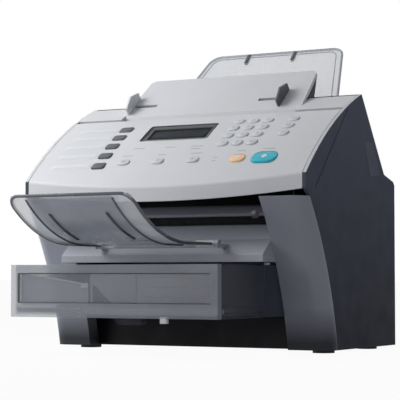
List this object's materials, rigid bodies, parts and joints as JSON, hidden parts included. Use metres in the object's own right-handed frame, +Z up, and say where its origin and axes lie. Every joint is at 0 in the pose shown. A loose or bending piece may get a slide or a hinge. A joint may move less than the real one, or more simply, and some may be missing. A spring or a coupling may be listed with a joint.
{
  "type": "fax machine",
  "caption": "Desktop plain-paper fax with a lifting control panel, paper cassette, folding exit tray, document tray with sliding guides and a clear rear support.",
  "frame": {"origin": "on the table under the middle of the whole machine", "axes": "+X to the machine's right seen from the front, +Y to its back, +Z up"},
  "size_m": [0.352, 0.4679, 0.3618],
  "materials": {
    "light_plastic": "fine moulded texture",
    "dark_plastic": "fine moulded texture",
    "mid_plastic": "fine moulded texture",
    "black_plastic": "moulded",
    "grey_plastic": "moulded",
    "clear_plastic": "clear moulded",
    "smoked_plastic": "smoked moulded",
    "steel": "plated sheet",
    "rubber": "soft",
    "circuit_board": "lacquered",
    "key_dark": "moulded",
    "key_teal": "moulded",
    "key_orange": "moulded",
    "key_light": "moulded"
  },
  "bodies": {
    "chassis": {"side_cover_left": "dark_plastic", "side_cover_right": "dark_plastic", "panel_pins": "steel", "front_pillar_left": "mid_plastic", "front_pillar_right": "mid_plastic", "rear_cover": "dark_plastic", "rear_sockets": "black_plastic", "case_screws": "steel", "feet": "rubber", "base_pan": "black_plastic", "chassis_frame": "steel", "scan_deck": "black_plastic", "image_sensor": "circuit_board", "toner_cartridge": "black_plastic", "laser_unit": "black_plastic", "drive_motor": "steel", "main_board": "circuit_board", "power_board": "circuit_board", "front_cover": "mid_plastic", "document_tray": "light_plastic"},
    "panel": {"control_panel": "light_plastic", "display_window": "smoked_plastic", "panel_board": "circuit_board"},
    "cassette": {"cassette_tray": "black_plastic", "cassette_window": "smoked_plastic"},
    "lift_plate": {"lift_plate": "steel"},
    "exit_tray": {"exit_tray": "clear_plastic"},
    "tray_extension": {"tray_extension": "smoked_plastic"},
    "guide_left": {"guide_left": "grey_plastic"},
    "guide_right": {"guide_right": "black_plastic"},
    "guide_pinion": {"guide_pinion": "grey_plastic"},
    "paper_support": {"paper_support": "clear_plastic"},
    "pickup_roller": {"pickup_roller": "rubber"},
    "fuser_roller": {"fuser_roller": "rubber"},
    "document_roller": {"document_roller": "rubber"},
    "key_back": {"key_back": "key_light"},
    "key_eight": {"key_eight": "key_light"},
    "key_five": {"key_five": "key_light"},
    "key_forward": {"key_forward": "key_light"},
    "key_four": {"key_four": "key_light"},
    "key_hash": {"key_hash": "key_light"},
    "key_menu": {"key_menu": "key_light"},
    "key_mute": {"key_mute": "key_light"},
    "key_nine": {"key_nine": "key_light"},
    "key_one": {"key_one": "key_light"},
    "key_pause": {"key_pause": "key_light"},
    "key_quick_1": {"key_quick_1": "key_dark"},
    "key_quick_2": {"key_quick_2": "key_dark"},
    "key_quick_3": {"key_quick_3": "key_dark"},
    "key_quick_4": {"key_quick_4": "key_dark"},
    "key_quick_5": {"key_quick_5": "key_dark"},
    "key_redial": {"key_redial": "key_light"},
    "key_seven": {"key_seven": "key_light"},
    "key_six": {"key_six": "key_light"},
    "key_star": {"key_star": "key_light"},
    "key_start": {"key_start": "key_teal"},
    "key_stop": {"key_stop": "key_orange"},
    "key_three": {"key_three": "key_light"},
    "key_two": {"key_two": "key_light"},
    "key_zero": {"key_zero": "key_light"}
  },
  "joints": [
    {"name": "panel_hinge", "type": "hinge", "parent": "chassis", "child": "panel", "pos_m": [0, 0.04471, 0.2589], "axis": [-1, 0, 0], "range_deg": [0, 35]},
    {"name": "exit_tray_hinge", "type": "hinge", "parent": "chassis", "child": "exit_tray", "pos_m": [0, -0.063, 0.117], "axis": [-1, 0, 0], "range_deg": [0, 60]},
    {"name": "extension_hinge", "type": "hinge", "parent": "exit_tray", "child": "tray_extension", "pos_m": [0, -0.2236, 0.15888], "axis": [1, 0, 0], "range_deg": [0, 160]},
    {"name": "cassette_slide", "type": "slide", "parent": "chassis", "child": "cassette", "axis": [0, -1, 0], "range_m": [0, 0.25]},
    {"name": "lift_plate_hinge", "type": "hinge", "parent": "cassette", "child": "lift_plate", "pos_m": [0, -0.14, 0.0475], "axis": [1, 0, 0], "range_deg": [0, 7]},
    {"name": "guide_right_slide", "type": "slide", "parent": "chassis", "child": "guide_right", "axis": [-1, 0, 0], "range_m": [0, 0.03]},
    {"name": "guide_left_slide", "type": "slide", "parent": "chassis", "child": "guide_left", "axis": [1, 0, 0], "range_m": [0, 0.03]},
    {"name": "guide_pinion_turn", "type": "hinge", "parent": "chassis", "child": "guide_pinion", "pos_m": [-0.012, 0.07648, 0.28098], "axis": [0, -0.6389, 0.7693], "range_deg": [0, 215.36]},
    {"name": "support_slide", "type": "slide", "parent": "chassis", "child": "paper_support", "axis": [0, 0.682, 0.7314], "range_m": [0, 0.02]},
    {"name": "pickup_roller_turn", "type": "hinge", "parent": "chassis", "child": "pickup_roller", "pos_m": [0, 0.125, 0.11], "axis": [1, 0, 0], "continuous": true},
    {"name": "fuser_roller_turn", "type": "hinge", "parent": "chassis", "child": "fuser_roller", "pos_m": [0, 0.002, 0.146], "axis": [1, 0, 0], "continuous": true},
    {"name": "document_roller_turn", "type": "hinge", "parent": "chassis", "child": "document_roller", "pos_m": [0, -0.01547, 0.19384], "axis": [1, 0, 0], "continuous": true},
    {"name": "key_back_press", "type": "slide", "parent": "panel", "child": "key_back", "axis": [0, 0.548, -0.8365], "range_m": [0, 0.0012], "stiffness_N_per_m": 400, "springref_m": -0.001},
    {"name": "key_eight_press", "type": "slide", "parent": "panel", "child": "key_eight", "axis": [0, 0.548, -0.8365], "range_m": [0, 0.0012], "stiffness_N_per_m": 400, "springref_m": -0.001},
    {"name": "key_five_press", "type": "slide", "parent": "panel", "child": "key_five", "axis": [0, 0.548, -0.8365], "range_m": [0, 0.0012], "stiffness_N_per_m": 400, "springref_m": -0.001},
    {"name": "key_forward_press", "type": "slide", "parent": "panel", "child": "key_forward", "axis": [0, 0.548, -0.8365], "range_m": [0, 0.0012], "stiffness_N_per_m": 400, "springref_m": -0.001},
    {"name": "key_four_press", "type": "slide", "parent": "panel", "child": "key_four", "axis": [0, 0.548, -0.8365], "range_m": [0, 0.0012], "stiffness_N_per_m": 400, "springref_m": -0.001},
    {"name": "key_hash_press", "type": "slide", "parent": "panel", "child": "key_hash", "axis": [0, 0.548, -0.8365], "range_m": [0, 0.0012], "stiffness_N_per_m": 400, "springref_m": -0.001},
    {"name": "key_menu_press", "type": "slide", "parent": "panel", "child": "key_menu", "axis": [0, 0.548, -0.8365], "range_m": [0, 0.0012], "stiffness_N_per_m": 400, "springref_m": -0.001},
    {"name": "key_mute_press", "type": "slide", "parent": "panel", "child": "key_mute", "axis": [0, 0.548, -0.8365], "range_m": [0, 0.0012], "stiffness_N_per_m": 400, "springref_m": -0.001},
    {"name": "key_nine_press", "type": "slide", "parent": "panel", "child": "key_nine", "axis": [0, 0.548, -0.8365], "range_m": [0, 0.0012], "stiffness_N_per_m": 400, "springref_m": -0.001},
    {"name": "key_one_press", "type": "slide", "parent": "panel", "child": "key_one", "axis": [0, 0.548, -0.8365], "range_m": [0, 0.0012], "stiffness_N_per_m": 400, "springref_m": -0.001},
    {"name": "key_pause_press", "type": "slide", "parent": "panel", "child": "key_pause", "axis": [0, 0.548, -0.8365], "range_m": [0, 0.0012], "stiffness_N_per_m": 400, "springref_m": -0.001},
    {"name": "key_quick_1_press", "type": "slide", "parent": "panel", "child": "key_quick_1", "axis": [0, 0.548, -0.8365], "range_m": [0, 0.0012], "stiffness_N_per_m": 400, "springref_m": -0.001},
    {"name": "key_quick_2_press", "type": "slide", "parent": "panel", "child": "key_quick_2", "axis": [0, 0.548, -0.8365], "range_m": [0, 0.0012], "stiffness_N_per_m": 400, "springref_m": -0.001},
    {"name": "key_quick_3_press", "type": "slide", "parent": "panel", "child": "key_quick_3", "axis": [0, 0.548, -0.8365], "range_m": [0, 0.0012], "stiffness_N_per_m": 400, "springref_m": -0.001},
    {"name": "key_quick_4_press", "type": "slide", "parent": "panel", "child": "key_quick_4", "axis": [0, 0.548, -0.8365], "range_m": [0, 0.0012], "stiffness_N_per_m": 400, "springref_m": -0.001},
    {"name": "key_quick_5_press", "type": "slide", "parent": "panel", "child": "key_quick_5", "axis": [0, 0.548, -0.8365], "range_m": [0, 0.0012], "stiffness_N_per_m": 400, "springref_m": -0.001},
    {"name": "key_redial_press", "type": "slide", "parent": "panel", "child": "key_redial", "axis": [0, 0.548, -0.8365], "range_m": [0, 0.0012], "stiffness_N_per_m": 400, "springref_m": -0.001},
    {"name": "key_seven_press", "type": "slide", "parent": "panel", "child": "key_seven", "axis": [0, 0.548, -0.8365], "range_m": [0, 0.0012], "stiffness_N_per_m": 400, "springref_m": -0.001},
    {"name": "key_six_press", "type": "slide", "parent": "panel", "child": "key_six", "axis": [0, 0.548, -0.8365], "range_m": [0, 0.0012], "stiffness_N_per_m": 400, "springref_m": -0.001},
    {"name": "key_star_press", "type": "slide", "parent": "panel", "child": "key_star", "axis": [0, 0.548, -0.8365], "range_m": [0, 0.0012], "stiffness_N_per_m": 400, "springref_m": -0.001},
    {"name": "key_start_press", "type": "slide", "parent": "panel", "child": "key_start", "axis": [0, 0.548, -0.8365], "range_m": [0, 0.0012], "stiffness_N_per_m": 400, "springref_m": -0.001},
    {"name": "key_stop_press", "type": "slide", "parent": "panel", "child": "key_stop", "axis": [0, 0.548, -0.8365], "range_m": [0, 0.0012], "stiffness_N_per_m": 400, "springref_m": -0.001},
    {"name": "key_three_press", "type": "slide", "parent": "panel", "child": "key_three", "axis": [0, 0.548, -0.8365], "range_m": [0, 0.0012], "stiffness_N_per_m": 400, "springref_m": -0.001},
    {"name": "key_two_press", "type": "slide", "parent": "panel", "child": "key_two", "axis": [0, 0.548, -0.8365], "range_m": [0, 0.0012], "stiffness_N_per_m": 400, "springref_m": -0.001},
    {"name": "key_zero_press", "type": "slide", "parent": "panel", "child": "key_zero", "axis": [0, 0.548, -0.8365], "range_m": [0, 0.0012], "stiffness_N_per_m": 400, "springref_m": -0.001}
  ],
  "couplings": [
    {"joint": "guide_left_slide", "follows": "guide_right_slide", "ratio": 1},
    {"joint": "guide_pinion_turn", "follows": "guide_right_slide", "rad_per_m": 125}
  ]
}
